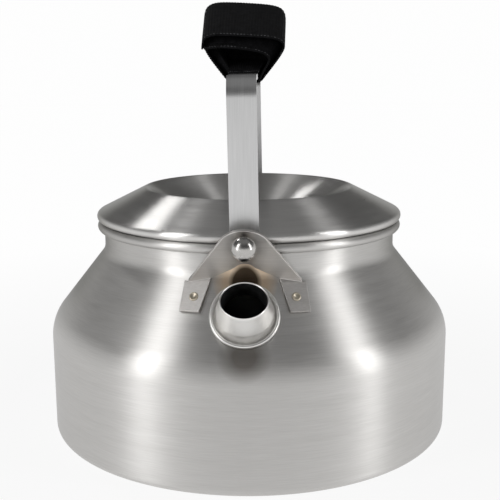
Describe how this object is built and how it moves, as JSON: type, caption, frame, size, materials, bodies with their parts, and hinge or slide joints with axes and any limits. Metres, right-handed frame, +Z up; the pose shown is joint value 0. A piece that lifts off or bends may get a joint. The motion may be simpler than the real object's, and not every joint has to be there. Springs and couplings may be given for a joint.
{
  "type": "kettle",
  "caption": "Squat steel camp kettle with a conical lid, short front spout and a folding strip bail with a wound webbing grip.",
  "frame": {"origin": "centre of the flat underside", "axes": "+Z up; -Y towards the spout and the front pivot; the bail swings about a line along Y above the origin"},
  "size_m": [0.17, 0.1711, 0.181],
  "materials": {
    "body_steel": "circumferential brushing",
    "lid_steel": "circumferential brushing",
    "strip_steel": "brushed along the strip",
    "bracket_steel": "satin sheet with rounded edges",
    "bright_steel": "polished",
    "rivet_steel": "dull, slightly warm",
    "webbing": "black ribbed webbing"
  },
  "bodies": {
    "kettle": {"body_shell": "body_steel", "front_bracket": "bracket_steel", "front_left_foot_rivet": "rivet_steel", "front_pivot_rivet": "bright_steel", "front_pivot_washer": "bright_steel", "front_right_foot_rivet": "rivet_steel", "rear_bracket": "bracket_steel", "rear_left_foot_rivet": "rivet_steel", "rear_pivot_rivet": "bright_steel", "rear_pivot_washer": "bright_steel", "rear_right_foot_rivet": "rivet_steel", "spout": "bright_steel"},
    "bail": {"bail_handle": "strip_steel", "grip_strap": "webbing"},
    "lid": {"lid_shell": "lid_steel", "lid_skirt": "lid_steel", "lid_knob": "bright_steel", "lid_knob_screw": "rivet_steel"}
  },
  "joints": [
    {"name": "bail_swing", "type": "hinge", "parent": "kettle", "child": "bail", "pos_m": [0, 0, 0.09102], "axis": [0, 1, 0], "range_deg": [-64, 64]},
    {"name": "lid_lift", "type": "slide", "parent": "kettle", "child": "lid", "axis": [0, 0, 1], "range_m": [0, 0.008]}
  ]
}
